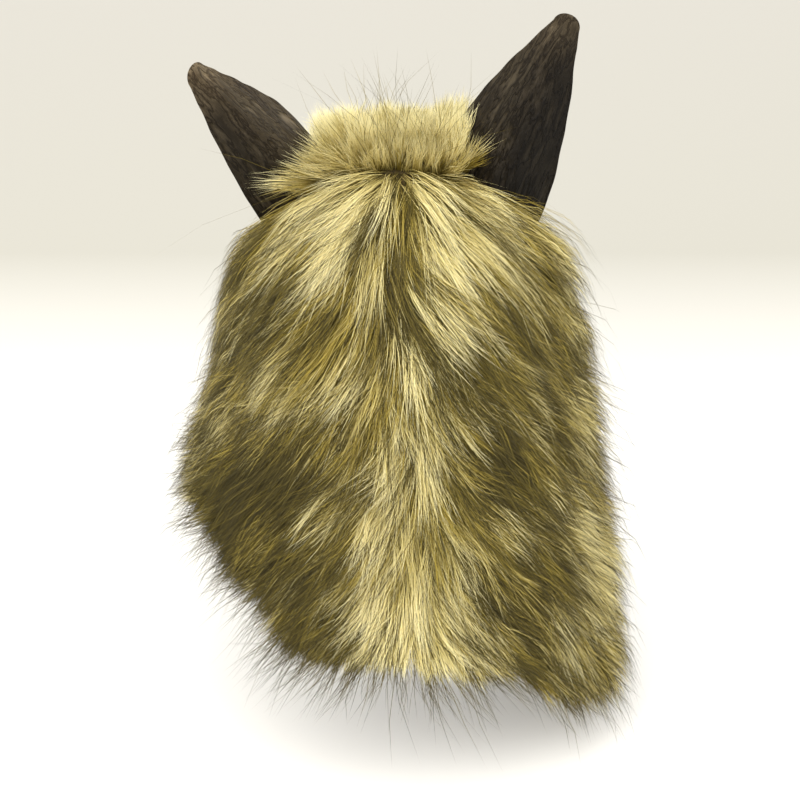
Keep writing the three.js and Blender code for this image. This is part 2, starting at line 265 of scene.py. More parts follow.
def face_outwards(obj):
    active(obj)
    bpy.ops.object.mode_set(mode="EDIT")
    bpy.ops.mesh.select_all(action="SELECT")
    bpy.ops.mesh.normals_make_consistent(inside=False)
    bpy.ops.object.mode_set(mode="OBJECT")


def smooth(obj, crease_deg):
    """Shades an object smooth, but for creases sharper than an angle."""
    active(obj)
    bpy.ops.object.shade_smooth_by_angle(angle=math.radians(crease_deg))


def finish_piece(obj, material, slot, *nodes):
    obj.data.materials.clear()
    obj.data.materials.append(material)
    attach(obj, "root")
    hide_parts(*nodes)


# Materials

def new_material(name):
    material = bpy.data.materials.new(name)
    material.use_nodes = True
    tree = material.node_tree
    return material, tree, tree.nodes["Principled BSDF"]


def srgb(red, green, blue):
    """A colour given as 0 to 255 in a picture, as the shader's linear values."""
    shares = [c / 255 for c in (red, green, blue)]
    return [s / 12.92 if s <= 0.04045 else ((s + 0.055) / 1.055) ** 2.4 for s in shares] + [1]


def ramp(tree, source, stops):
    node = tree.nodes.new("ShaderNodeValToRGB")
    elements = node.color_ramp.elements
    while len(elements) < len(stops):
        elements.new(0.5)
    for element, (place, colour) in zip(elements, stops):
        element.position = place
        element.color = colour
    tree.links.new(source, node.inputs["Fac"])
    return node.outputs["Color"]


def set_inputs(node, values):
    for name, value in values.items():
        node.inputs[name].default_value = value


def noise_texture(tree, vector, scale, detail, roughness):
    node = tree.nodes.new("ShaderNodeTexNoise")
    set_inputs(node, {"Scale": scale, "Detail": detail, "Roughness": roughness})
    tree.links.new(vector, node.inputs["Vector"])
    return node.outputs["Fac"]


def mapped(tree, vector, scale):
    node = tree.nodes.new("ShaderNodeMapping")
    set_inputs(node, {"Scale": scale})
    tree.links.new(vector, node.inputs["Vector"])
    return node.outputs["Vector"]


def bump(tree, heights, shader):
    """Chains one bump for each (height, strength, distance)."""
    normal = None
    for height, strength, distance in heights:
        node = tree.nodes.new("ShaderNodeBump")
        set_inputs(node, {"Strength": strength, "Distance": distance})
        tree.links.new(height, node.inputs["Height"])
        if normal:
            tree.links.new(normal, node.inputs["Normal"])
        normal = node.outputs["Normal"]
    tree.links.new(normal, shader.inputs["Normal"])


def colour_mix(tree, blend, first, second):
    mix = tree.nodes.new("ShaderNodeMix")
    mix.data_type = "RGBA"
    mix.blend_type = blend
    tree.links.new(first, mix.inputs["A"])
    tree.links.new(second, mix.inputs["B"])
    return mix


def multiplied(tree, first, second):
    mix = colour_mix(tree, "MULTIPLY", first, second)
    set_inputs(mix, {"Factor": 1})
    return mix.outputs["Result"]


def split_axes(tree, vector):
    node = tree.nodes.new("ShaderNodeSeparateXYZ")
    tree.links.new(vector, node.inputs["Vector"])
    return node.outputs


def share_between(tree, value, low, high):
    """How far a value lies from low to high, from 0 to 1."""
    node = tree.nodes.new("ShaderNodeMapRange")
    set_inputs(node, {"From Min": low, "From Max": high})
    tree.links.new(value, node.inputs["Value"])
    return node.outputs["Result"]


def axis_share(tree, place, axis, low, high):
    """How far a place lies from low to high along an axis, from 0 to 1."""
    return share_between(tree, split_axes(tree, place)[axis], low, high)


def grey(value):
    return (value, value, value, 1)


def own_place(tree):
    return tree.nodes.new("ShaderNodeTexCoord").outputs["Object"]


def moulded_place(tree):
    """Where each point of an ear was before it was turned, moved a metre along Y to tell the ears apart."""
    node = tree.nodes.new("ShaderNodeAttribute")
    node.attribute_name = MOULD_PLACE
    return node.outputs["Vector"]


def latex_material(name, place_of, colours_and_painted_light_of, line_length):
    """Dark rubber with moulded hair lines, laid out by place_of and tinted by the function after it, which
    gives the rubber's own colours and painted light and shade.
    """
    material, tree, shader = new_material(name)
    place = place_of(tree)
    pores = noise_texture(tree, place, scale=520, detail=3, roughness=0.6)
    lines_place = mapped(tree, place, scale=(1, 1, 1 / line_length))
    lines = noise_texture(tree, lines_place, scale=230, detail=3, roughness=0.55)
    folds_place = mapped(tree, place, scale=(1, 1, 0.3))
    folds = noise_texture(tree, folds_place, scale=75, detail=3, roughness=0.5)
    # Painted shade and highlight: darker in the moulded grooves and paler on the raised lines, from the same
    # values that give the grooves' bump
    grooves_with_painted_shade = ramp(tree, lines, [
        (0.34, srgb(116, 106, 90)),
        (0.45, srgb(148, 137, 119)),
        (0.5, srgb(92, 81, 66)),
        (0.55, srgb(138, 127, 109)),
        (0.68, srgb(188, 176, 157)),
    ])
    # Warm tint of the rubber, darker in the hollows of the folds as painted shade
    fold_tint_and_shade = ramp(tree, folds, [(0.32, (0.58, 0.5, 0.38, 1)), (0.62, (1, 0.91, 0.72, 1))])
    colour = multiplied(tree, multiplied(tree, grooves_with_painted_shade, fold_tint_and_shade), colours_and_painted_light_of(tree, place))
    tree.links.new(colour, shader.inputs["Base Color"])
    set_inputs(shader, {"Roughness": 0.55, "Specular IOR Level": 0.12})
    bump(tree, [(folds, 0.6, 6 * MM), (grooves_with_painted_shade, 0.8, 6 * MM), (pores, 0.4, 0.6 * MM)], shader)
    return material


def ear_painted_light(tree, place):
    """Painted light and shade as the light falls on the ears: paler towards the inner edge and the tip,
    darker down the outer half and all over the right ear.
    """
    across = axis_share(tree, place, "X", low=-30 * MM, high=30 * MM)
    up = axis_share(tree, place, "Z", low=60 * MM, high=118 * MM)
    which = axis_share(tree, place, "Y", low=-1, high=1)
    beside = ramp(tree, across, [(0.1, grey(1)), (0.45, grey(0.62)), (0.7, grey(0.3))])
    along = ramp(tree, up, [(0, grey(0.32)), (0.5, grey(0.38)), (1, grey(1))])
    right_ear_shade = ramp(tree, which, [(0.3, grey(1)), (0.7, grey(0.42))])
    return multiplied(tree, multiplied(tree, beside, along), right_ear_shade)


def spot_shade(tree, place, centre, half, dark):
    """Dark inside a pair of egg-shaped spots, one on either side of the face, given in millimetres."""
    both = tree.nodes.new("ShaderNodeVectorMath")
    both.operation = "ABSOLUTE"
    tree.links.new(place, both.inputs[0])
    offset = tree.nodes.new("ShaderNodeMapping")
    set_inputs(offset, {
        "Scale": [1 / (MM * h) for h in half],
        "Location": [-abs(c) / h for c, h in zip(centre, half)],
    })
    tree.links.new(both.outputs["Vector"], offset.inputs["Vector"])
    length = tree.nodes.new("ShaderNodeVectorMath")
    length.operation = "LENGTH"
    tree.links.new(offset.outputs["Vector"], length.inputs[0])
    return ramp(tree, length.outputs["Value"], [(0.6, grey(dark)), (1, grey(1))])


def even_shade(tree, place):
    """Darker low down on the head, paler on the brow."""
    up = axis_share(tree, place, "Z", low=-220 * MM, high=-20 * MM)
    return ramp(tree, up, [(0, grey(0.14)), (1, grey(0.17))])


def head_colours_and_painted_shade(tree, place):
    """A dark nose and dark rims round the eyes, with the nostrils darker still as painted shade where their
    hollows would be.
    """
    nose = spot_shade(tree, place, centre=(0, 180, -139), half=(21, 20, 17), dark=0.25)
    # Painted shade: dark spots where the nostrils' hollows would be
    nostrils = spot_shade(tree, place, centre=(9, 188, -141), half=(7, 9, 6), dark=0.1)
    eyes = spot_shade(tree, place, centre=EYE_CENTRE, half=(30, 40, 19), dark=0.3)
    snout = multiplied(tree, nose, nostrils)
    face = multiplied(tree, eyes, even_shade(tree, place))
    return multiplied(tree, snout, face)


def fur_material(name, kinds):
    """Colour along each hair from root to tip, blended by its tone from the darkest kind to the palest; the
    darker roots are painted shade.
    """
    material, tree, shader = new_material(name)
    uv = tree.nodes.new("ShaderNodeUVMap")
    uv.uv_map = FUR_MAP
    axes = split_axes(tree, uv.outputs["UV"])
    tone, along = axes["X"], axes["Y"]
    colour = ramp(tree, along, kinds[0])
    steps = len(kinds) - 1
    for k, kind in enumerate(kinds[1:]):
        mix = colour_mix(tree, "MIX", colour, ramp(tree, along, kind))
        share = share_between(tree, tone, low=k / steps, high=(k + 1) / steps)
        tree.links.new(share, mix.inputs["Factor"])
        colour = mix.outputs["Result"]
    tree.links.new(colour, shader.inputs["Base Color"])
    set_inputs(shader, {"Roughness": 0.55, "Specular IOR Level": 0.15})
    return material


def backing_material():
    # Knitted cloth, coloured dark as painted shade where it shows between the hairs
    material, tree, shader = new_material("knitted_backing_painted_shade")
    place = mapped(tree, own_place(tree), scale=(1, 1, 0.5))
    loops = noise_texture(tree, place, scale=900, detail=2, roughness=0.5)
    colour = ramp(tree, loops, [(0.35, srgb(52, 43, 20)), (0.65, srgb(96, 81, 40))])
    tree.links.new(colour, shader.inputs["Base Color"])
    set_inputs(shader, {"Roughness": 0.9})
    bump(tree, [(loops, 0.6, 0.6 * MM)], shader)
    return material


# Latex head

# The rows of HEAD that its form is grown through, and how many rows it runs on below the rim
HEAD_RINGS = (0.25, 0.5, 0.75, 1, 1.5, 2, 2.5, 3, 3.5, 4, 4.5, 5, 6, 7, 8, 9)
BELOW_RIM = 0.6
# Swellings of the face, in millimetres and degrees: name, centre, half sizes, tilt
SWELLINGS = (
    ("brow_form", (-33, 60, -80), (36, 25, 13), 14),
    ("brow_form", (33, 60, -80), (36, 25, 13), -14),
    ("nose_form", (0, 172, -137), (17, 17, 12), 0),
)
# The eye holes, in millimetres and degrees
EYE_CENTRE = (38, 85, -100)
EYE_HALF = (16, 8)
EYE_DEPTH = 70
EYE_SLANT = 18
# The gap of the mouth, in millimetres
MOUTH_SIZE = (120, 111, 7)
MOUTH_START = 104
MOUTH_HEIGHT = -171
# The turn that lays the axis of a disc or a cylinder along Y
ALONG_Y = (math.pi / 2, 0, 0)


def loft(form, axis, upright, sections):
    """Grows a disc of radius 1 along an axis, ring by ring.

    A section gives its place on the axis, half width, and reach to the minus and the plus side of upright.
    """
    place = 0
    before = (1, 1, 1)
    bpy.ops.object.mode_set(mode="EDIT")
    bpy.ops.mesh.select_all(action="SELECT")
    for k, (to, *size) in enumerate(sections):
        step = [to - place if a == axis else 0 for a in range(3)]
        if k == 0:
            bpy.ops.transform.translate(value=step)
        else:
            bpy.ops.mesh.extrude_region_move(TRANSFORM_OT_translate={"value": step})
        side, minus, plus = (new / old for new, old in zip(size, before))
        for sign, factor in ((1, plus), (-1, minus)):
            pick(form, lambda co: abs(co[axis] - to) < SAME_PLACE and sign * co[upright] > 0)
            stretch(upright, factor)
        pick(form, lambda co: abs(co[axis] - to) < SAME_PLACE)
        stretch(X, side)
        place, before = to, size
    bpy.ops.object.mode_set(mode="OBJECT")


def lofted_head():
    """The head's outer form, closed, grown from the crown to a little below the rim."""
    bpy.ops.mesh.primitive_circle_add(vertices=64, radius=1, fill_type="NGON")
    head = added("latex_head_form")
    rows = np.array([*HEAD_RINGS, row_at(RIM) + BELOW_RIM])
    columns = [head_column(name, rows).tolist() for name in HEAD_NAMES]
    loft(head, axis=Z, upright=Y, sections=zip(*columns))
    face_outwards(head)
    return head


def lofted_muzzle():
    bpy.ops.mesh.primitive_circle_add(vertices=48, radius=1, fill_type="NGON", rotation=ALONG_Y)
    muzzle = added("muzzle_form")
    settle(muzzle)
    sections = [[MM * value for value in section] for section in MUZZLE]
    loft(muzzle, axis=Y, upright=Z, sections=[(y, side, down, up) for y, _, side, up, down in sections])
    bpy.ops.object.mode_set(mode="EDIT")
    for y, z, *_ in sections:
        pick(muzzle, lambda co: abs(co.y - y) < SAME_PLACE)
        bpy.ops.transform.translate(value=(0, 0, z))
    bpy.ops.object.mode_set(mode="OBJECT")
    face_outwards(muzzle)
    return muzzle


def egg(name, centre, half, tilt_deg):
    """A rounded swelling, given its centre and half sizes in millimetres."""
    bpy.ops.mesh.primitive_uv_sphere_add(segments=32, ring_count=20, radius=1)
    obj = added(name)
    obj.scale = [MM * h for h in half]
    obj.rotation_euler = (0, math.radians(tilt_deg), 0)
    obj.location = [MM * c for c in centre]
    settle(obj)
    return obj


def joined(name, parts):
    bpy.ops.object.select_all(action="DESELECT")
    for part in parts:
        part.select_set(True)
    bpy.context.view_layer.objects.active = parts[0]
    bpy.ops.object.join()
    return added(name)


def cut(obj, cutter):
    apply_modifier(obj, "BOOLEAN", operation="DIFFERENCE", solver="EXACT", object=cutter)
    bpy.data.objects.remove(cutter)


def eye_cutter(side):
    bpy.ops.mesh.primitive_cylinder_add(vertices=40, radius=1, depth=EYE_DEPTH * MM, rotation=ALONG_Y)
    cutter = added("eye_cutter")
    settle(cutter)
    x, y, z = EYE_CENTRE
    wide, high = EYE_HALF
    cutter.scale = (wide * MM, 1, high * MM)
    cutter.rotation_euler = (0, -side * math.radians(EYE_SLANT), 0)
    cutter.location = (side * x * MM, y * MM, z * MM)
    settle(cutter)
    return cutter


def mouth_cutter():
    bpy.ops.mesh.primitive_cube_add(size=1)
    cutter = added("mouth_cutter")
    cutter.scale = [size * MM for size in MOUTH_SIZE]
    cutter.location = (0, (MOUTH_START + MOUTH_SIZE[Y] / 2) * MM, MOUTH_HEIGHT * MM)
    settle(cutter)
    return cutter


def model_latex_head(material):
    """Makes the hollow head, and gives back its form as a solid block."""
    head_form = lofted_head()
    swellings = [egg(*swelling) for swelling in SWELLINGS]
    head = joined("latex_head_skin", [head_form, lofted_muzzle(), *swellings])
    apply_modifier(head, "REMESH", mode="VOXEL", voxel_size=4 * MM, use_smooth_shade=True)
    apply_modifier(head, "SMOOTH", factor=0.5, iterations=10)
    block = head.copy()
    block.data = head.data.copy()
    bpy.context.scene.collection.objects.link(block)
    active(head)
    bpy.ops.object.mode_set(mode="EDIT")
    bpy.ops.mesh.select_all(action="SELECT")
    bpy.ops.mesh.bisect(plane_co=(0, 0, RIM), plane_no=(0, 0, 1), clear_inner=True, use_fill=False)
    bpy.ops.object.mode_set(mode="OBJECT")
    apply_modifier(head, "SOLIDIFY", thickness=LATEX_WALL, offset=-1, use_rim=True)
    for side in (-1, 1):
        cut(head, eye_cutter(side))
    cut(head, mouth_cutter())
    smooth(head, crease_deg=40)
    finish_piece(head, material, "latex", "latex_head")
    return block


# Ears

MOULD_PLACE = "mould_place"
EAR_RINGS = 60
# How strongly the rings crowd towards the tip, and the height of its round end
EAR_CROWDING = 1.5
EAR_TIP = 7 * MM
# Shares of a round and of a straight-sided back in an ear's section
EAR_PROFILE = (0.55, 0.45)
# The least share of an ear's width that its inside keeps
EAR_LEAST_INSIDE = 0.6
# Relief of an ear: its size across, through and along, where its pattern starts, its depth in millimetres
EAR_RELIEF = (
    ((6, 8, 70), 0, 1.3),
    ((15, 15, 20), 0.6, 0.9),
)
# Over what height the relief fades towards the tip, and the reach below which it grows no stronger
RELIEF_FADE = 20 * MM
RELIEF_LEAST_REACH = 8 * MM


def ear_section(height):
    """Reach to the inner and the outer edge and bulge of an ear at heights, on smooth curves through EAR."""
    heights, *columns = MM * np.array(EAR).T
    place = np.asarray(np.interp(height, heights, np.arange(len(heights))))
    return [smooth_lookup(column, place) for column in columns]


def ear_relief(place):
    """How far an ear stands out at a place, in millimetres."""
    height = 0
    for sizes, start, depth in EAR_RELIEF:
        x, y, z = (value / size for value, size in zip(place, sizes))
        height += depth * noise.noise(Vector((x + start, y, z)) / MM)
    return height


def moulded(place, side):
    """A point of the cup-shaped ear, from a point of an upright tube of radius 1 and height 1."""
    low, high = MM * EAR[0][0], MM * EAR[-1][0]
    height = high - (high - low) * (1 - place.z) ** EAR_CROWDING
    inner, outer, bulge = (float(size) for size in ear_section(min(height, high - EAR_TIP)))
    across = side * place.x
    reach = inner if across < 0 else outer
    behind = place.y <= SAME_PLACE
    x = side * across * (reach if behind else max(reach - EAR_WALL, EAR_LEAST_INSIDE * reach))
    profile = EAR_PROFILE[0] * math.cos(across * math.pi / 2) + EAR_PROFILE[1] * (1 - abs(across))
    y = -profile * (bulge if behind else bulge - EAR_WALL)
    fade = min(1, (high - height) / RELIEF_FADE)
    grow = 1 + MM * fade * ear_relief((x, y, height)) / max(reach, RELIEF_LEAST_REACH)
    grow *= math.sqrt(1 - max(0, 1 - (high - height) / EAR_TIP) ** 2)
    return Vector((x * grow, y * grow, height))


def ear_placement(name):
    side, lean_out, lean_back, twist = EARS[name]
    turn = Matrix.Rotation(side * math.radians(lean_out), 4, "Y")
    turn = turn @ Matrix.Rotation(math.radians(lean_back), 4, "X")
    turn = turn @ Matrix.Rotation(-side * math.radians(twist), 4, "Z")
    return Matrix.Translation((side * EAR_ROOT.x, EAR_ROOT.y, EAR_ROOT.z)) @ turn


def clear_of_ears(places):
    """Which places lie neither in an ear's wall nor in its cup."""
    clear = np.ones(places.shape[:-1], bool)
    for name, (side, *_) in EARS.items():
        back = np.array(ear_placement(name).inverted())
        x, y, z = np.moveaxis(places @ back[:3, :3].T + back[:3, 3], -1, 0)
        inner, outer, bulge = ear_section(z)
        across = x / np.where(side * x < 0, inner, outer)
        behind = -bulge * np.cos(across * np.pi / 2) - EAR_WALL
        beyond = (y < behind) | (y > EAR_WALL) | (z < MM * EAR[0][0]) | (z > MM * EAR[-1][0])
        clear &= beyond | (np.abs(across) > 1)
    return clear


def model_ear(name, head_block, material):
    side = EARS[name][0]
    bpy.ops.mesh.primitive_circle_add(vertices=96, radius=1, fill_type="NGON")
    ear = added(name + "_skin")
    bpy.ops.object.mode_set(mode="EDIT")
    bpy.ops.mesh.select_all(action="SELECT")
    for _ in range(EAR_RINGS):
        bpy.ops.mesh.extrude_region_move(TRANSFORM_OT_translate={"value": (0, 0, 1 / EAR_RINGS)})
    bpy.ops.object.mode_set(mode="OBJECT")
    places = ear.data.attributes.new(MOULD_PLACE, "FLOAT_VECTOR", "POINT")
    for vertex, place in zip(ear.data.vertices, places.data):
        vertex.co = moulded(vertex.co, side)
        place.vector = Vector((side * vertex.co.x, vertex.co.y + side, vertex.co.z))
    face_outwards(ear)
    ear.matrix_world = ear_placement(name)
    settle(ear)
    apply_modifier(ear, "BOOLEAN", operation="DIFFERENCE", solver="EXACT", object=head_block)
    smooth(ear, crease_deg=50)
    finish_piece(ear, material, "latex", name)


# Fur

FUR_MAP = "OFBake"
PATH_STEP = 8 * MM
PATH_STEPS = 13
STRAND_POINTS = 4
# The two steps that spread pairs of numbers evenly over a square
EVEN_STEPS = (0.7548776662466927, 0.5698402909980532)
NAP_RADIUS = 90 * MM
# How far the pile turns back on top of the head: angle from the parting, turn, both in degrees
NAP_FAN = ((0, 60, 110), (0, 32, 0))

# Shape of a hair: root's height, how it gathers, drifts, rises, thins and curls, roll of its flat side
ROOT_HEIGHT = 2.4 * MM
CLUMPING = 0.76
GATHER_POWER = 1.2
DRIFT_POWER = 1.5
RISE_POWER = 1.8
TAPER_POWER = 1.6
CURL_TURNS = 0.9
ROLL = 0.25
ROUNDNESS = 0.9
# How hairs spread across a clump, as shares of its half width, and how far past the solids they may reach
ACROSS_SPREAD = 0.5
ACROSS_LIMIT = 1.2
STRAY_REACH = 16 * MM
# Half the width of a hair's strip in the UV map, and the tones that it keeps to
MAP_HALF_WIDTH = 0.004
TONE_LIMITS = (0.01, 0.99)

# The back's clumps and hairs, and its pile: length, height in millimetres, added at flanks and shoulders
BACK_CLUMPS = 2800
BACK_HAIRS = 76000
PILE_LENGTH = 60 * MM
PILE_HEIGHT = 17
FLANK_HEIGHT = 13
SHOULDER_HEIGHT = {-1: 0.5, 1: 12.5}
# Shares by angle in degrees or by row of HEAD: middle of the back, flanks and shoulders
MIDDLE = ((12, 30), (1, 0))
FLANK_ROUND = ((25, 65), (0, 1))
FLANK_START = {-1: 5, 1: 3.6}
FLANK_DOWN = ((0, 2.5), (0, 1))
SHOULDER_ROUND = ((40, 60, 90, 110), (0, 1, 1, 0))
SHOULDER_DOWN = ((2, 2.6, 3.6, 4.6), (0, 1, 1, 0))
# Turns of clumps off the pile's lie, in degrees: broad swirls, narrow ones, more at the middle, at random
BROAD_SWIRL = 20
NARROW_SWIRL = 8
MIDDLE_SWIRL = 14
LOOSE_SWIRL = 6
# Swells of those swirls, of the pile's length and of its height: size, seed
BROAD_SWELLS = (30 * MM, 1.7)
NARROW_SWELLS = (13 * MM, 2.9)
LENGTH_SWELLS = (30 * MM, 5.2)
HEIGHT_SWELLS = (28 * MM, 8.4)
# How much the swells change length and height, and how clumps differ at random, as shares
LENGTH_CHANGE = 0.12
HEIGHT_CHANGE = 0.3
CLUMP_LENGTH = (0.85, 1.12)
CLUMP_HEIGHT = (0.75, 1.2)
# Half width of clumps in millimetres, their wave, and how many times as long, high and wide dark ones are
CLUMP_WIDTH = (5, 9)
CLUMP_WAVE = 1.8 * MM
DARK_LONGER = 1.12
DARK_HIGHER = 1.06
DARK_NARROWER = 0.55
# Tones of clumps: how they differ at random, those of dark ones, and how much paler the others are
CLUMP_TONE = 0.12
DARK_CLUMP_TONE = (0, 0.14)
PALE_CLUMP_TONE = 0.1
# How far the pile hangs below the backing's hem: signed angle in degrees, millimetres
HEM_FRINGE = ((-110, -60, -30, 0, 25, 50), (0, 2, 18, 11, 20, 32))
# How many rows of HEAD the roots reach above the backing: share of the way round to the face, rows
ROOTS_ABOVE = ((0, 0.27, 0.42, 0.58, 0.74), (0.4, 0.5, 0.75, 1, 0.4))
# How many rows of HEAD the lowest roots stay above the hem, and how many places are tried for each clump
ROOTS_ABOVE_HEM = 0.2
ROOT_TRIES = 5

# Shares of dark clumps and of guard hairs by tone, and of stray hairs by their distance from the hem
DARK_CLUMPS = ((0.1, 0.5, 0.85), (0.42, 0.22, 0.02))
GUARD_HAIRS = ((0.1, 0.5, 0.85), (0.24, 0.18, 0.07))
STRAY_HAIRS = ((20 * MM, 60 * MM), (0.2, 0.025))
# How many times as long stray hairs are: most by distance from the hem, what the middle adds, and least
STRAY_LENGTH = ((25 * MM, 60 * MM), (2.3, 1.6))
STRAY_MIDDLE = 0.3
STRAY_LEAST_LENGTH = 1.1
# How far down their clump hairs start, the least length that the hem leaves them, and how uneven it is
HAIR_START = 15 * MM
HAIR_LEAST = 10 * MM
HEM_UNEVEN = (0.85, 1.15)
# Lengths and heights as shares of the clump's, and half widths in millimetres
STRAY_HEIGHT = (1.1, 1.8)
GUARD_HEIGHT = 1.16
GUARD_LENGTH = (0.95, 1.2)
WOOL_LENGTH = (0.65, 1)
GUARD_WIDTH = (0.12, 0.19)
WOOL_WIDTH = (0.14, 0.23)
# The share of short hairs and their length, how few lie deep and how much lower, and how round a clump is
SHORT_HAIRS = 0.1
SHORT_LENGTH = 0.5
DEEP_POWER = 1.6
DEEP_LOWER = 0.62
CLUMP_ROUND = 0.25
# How hairs drift and wave in millimetres, and how far their waves are out of step, all at random
HAIR_DRIFT = 0.07
HAIR_WAVE = 0.6
STRAY_WAVE = 2.5
OUT_OF_STEP = 0.06
# Tones of hairs: how pale ones differ at random, the limits that they keep to, and those of dark ones
HAIR_TONE = 0.07
PALE_LIMITS = (0.03, 1)
DARK_HAIR_TONE = (0, 0.12)
# Deep hairs this near the hem are dark, as painted shade under the hem's locks
HEM_SHADE_REACH = 34 * MM
HEM_SHADE_DEPTH = 0.4

# How pale the back is before its patches: signed angle in degrees, tone
BACK_TONE = ((-129, -70, -45, -20, 20, 45, 70, 129), (0.37, 0.4, 0.41, 0.46, 0.5, 0.43, 0.49, 0.43))
# How much paler it is at the top, and how far down that reaches in millimetres
TOP_PALER = 0.2
TOP_DEPTH = 45
HEAD_RADIUS_MM = 110
# Streaks along the pile: width and length in millimetres, seed
BROAD_STREAKS = (11, 55, 3.1)
NARROW_STREAKS = (5, 40, 7.7)
# Strength of the streaks, of the narrow ones by angle in degrees
BROAD_STRENGTH = 0.6
NARROW_STRENGTH = ((15, 40), (0.8, 0.4))
# The step of a clump's path whose place gives its tone
TONE_STATION = 4

# Patches of the back, in degrees and millimetres: angle, height, reach beside and along, change of tone
PATCHES = (
    (-51, -19, 24, 18, 0.45),
    (-23, -25, 16, 20, 0.6),
    (-54, -49, 14, 16, 0.12),
    (-17, -98, 7, 18, 0.5),
    (-19, -135, 6, 12, 0.35),
    (-18, -156, 7, 16, 0.5),
    (-10, -193, 10, 26, 0.2),
    (-67, -151, 14, 24, 0.1),
    (-89, -222, 18, 24, 0.5),
    (-80, -240, 12, 14, 0.35),
    (1, -255, 22, 36, 0.95),
    (2, -78, 6, 18, 0.45),
    (9, -95, 7, 22, 0.5),
    (11, -69, 6, 14, 0.5),
    (16, -46, 7, 14, 0.35),
    (8, -151, 7, 22, 0.35),
    (12, -169, 8, 16, 0.3),
    (25, -34, 13, 28, 0.5),
    (48, -22, 14, 14, 0.35),
    (39, -18, 9, 8, 0.3),
    (30, -82, 11, 28, -0.1),
    (24, -223, 9, 9, 0.7),
    (73, -50, 14, 18, 0.15),
    (72, -240, 18, 30, 0.35),
    (61, -223, 10, 22, 0.3),
    (53, -274, 14, 26, 0.25),
    (67, -268, 20, 28, 0.2),
    (73, -322, 18, 34, 0.05),
    (0, -34, 10, 14, -0.6),
    (2, -55, 8, 9, -0.5),
    (17, -20, 8, 9, -0.5),
    (21, -69, 6, 10, -0.4),
    (-8, -13, 8, 8, -0.3),
    (-6, -71, 6, 14, -0.5),
    (-8, -47, 5, 10, -0.3),
    (-4, -100, 5, 14, -0.35),
    (-34, -42, 10, 14, -0.55),
    (-59, -35, 12, 14, -0.3),
    (-17, -66, 12, 12, -0.35),
    (-41, -70, 13, 18, -0.3),
    (-42, -104, 16, 24, 0.08),
    (-22, -117, 9, 16, -0.2),
    (-34, -156, 20, 34, -0.8),
    (-55, -190, 22, 34, -0.7),
    (-27, -196, 12, 20, -0.65),
    (-25, -228, 14, 22, -0.35),
    (-57, -241, 20, 22, -0.3),
    (-16, -243, 8, 14, -0.55),
    (3, -207, 6, 12, -0.6),
    (46, -63, 10, 20, -0.32),
    (39, -107, 12, 22, -0.35),
    (31, -145, 17, 30, -1.2),
    (71, -114, 16, 32, -0.18),
    (42, -247, 20, 26, -0.4),
    (36, -274, 8, 12, -0.3),
    (55, -160, 9, 16, -0.3),
    (28, -244, 11, 14, -0.7),
)

# The crown's clumps and hairs, and their length: place across from -1 to 1, metres
CROWN_CLUMPS = 420
CROWN_HAIRS = 20000
CROWN_LENGTH = ((-1, -0.3, 0.4, 0.75), (40 * MM, 30 * MM, 30 * MM, 50 * MM))
# The crown's clumps: half width in millimetres, wave, and how they differ at random in length and tone
CROWN_CLUMP_WIDTH = (3.5, 6.5)
CROWN_WAVE = 2 * MM
CROWN_CLUMP_LENGTH = (0.85, 1.1)
CROWN_CLUMP_TONE = 0.1
# Swells of the crown: their size, and how much they change its length and its tone
CROWN_SWELLS = 9 * MM
CROWN_LENGTH_CHANGE = 0.3
CROWN_TONE_CHANGE = 0.5
# The crown's hairs: how they drift, rise and wave at random
CROWN_DRIFT = 0.08
STRAY_DRIFT = 0.3
CROWN_LIFT = 2.5 * MM
CROWN_HAIR_WAVE = 0.8 * MM
# Their tone and its spread, dark ones' tones, lengths as shares of the clump's, half widths in millimetres
CROWN_TONE = (0.9, 0.08)
CROWN_DARK_TONE = (0, 0.3)
CROWN_WOOL_LENGTH = (0.55, 1.05)
CROWN_STRAY_LENGTH = (1.5, 2.6)
CROWN_WOOL_WIDTH = (0.17, 0.27)
CROWN_STRAY_WIDTH = 0.13
# How the crown's hairs fan out to the left and the right, and lean forward from the rear to the front
CROWN_FAN = (0.35, 0.1)
CROWN_LEAN = 1.4
CROWN_LEAN_REAR = -0.45
CROWN_LOOSE = 0.12
# How much of the way out of the head goes into a hair's direction, and the way that its flat side faces
CROWN_OUT = (0.45, 1, 1)
CROWN_FACING = np.array((0, 1, 0.2))
# The wing over the left ear and the fall at the right: start across, width until whole, reach forward
WING = (0.3, 0.5, 0.35)
FALL = (0.55, 0.2, 0.25)
WING_LEAN = np.array((-3, -1.4, -0.2))
FALL_LEAN = np.array((0.1, -1.5, -0.9))
WING_LONGER = 0.9
FALL_DROOP = 3
# How hairs of the crown droop: direction, over which length, and by how many millimetres
DROOP = np.array((0, 0.25, -0.35))
DROOP_LENGTH = 50 * MM
DROOP_DEPTH = 12
# Paler at the left, and darker at the rear as painted shade at the tuft's base: place, change of tone
CROWN_LEFT_TONE = ((-30 * MM, -10 * MM), (0.15, 0))
CROWN_REAR_SHADE = ((CROWN_CENTRE - CROWN_HALF[1], CROWN_CENTRE - 0.5 * CROWN_HALF[1]), (0.14, 0))
# Shares of guard hairs, and of stray ones: most, least, where across they are most, how far that reaches
CROWN_GUARD = 0.06
CROWN_STRAYS = (0.009, 0.0007, -4 * MM, 14 * MM)


def even_pairs(count, start):
    """Pairs of numbers from 0 to 1 that fill the square evenly."""
    i = np.arange(1, count + 1)
    return [(start + i * step) % 1 for step in EVEN_STEPS]


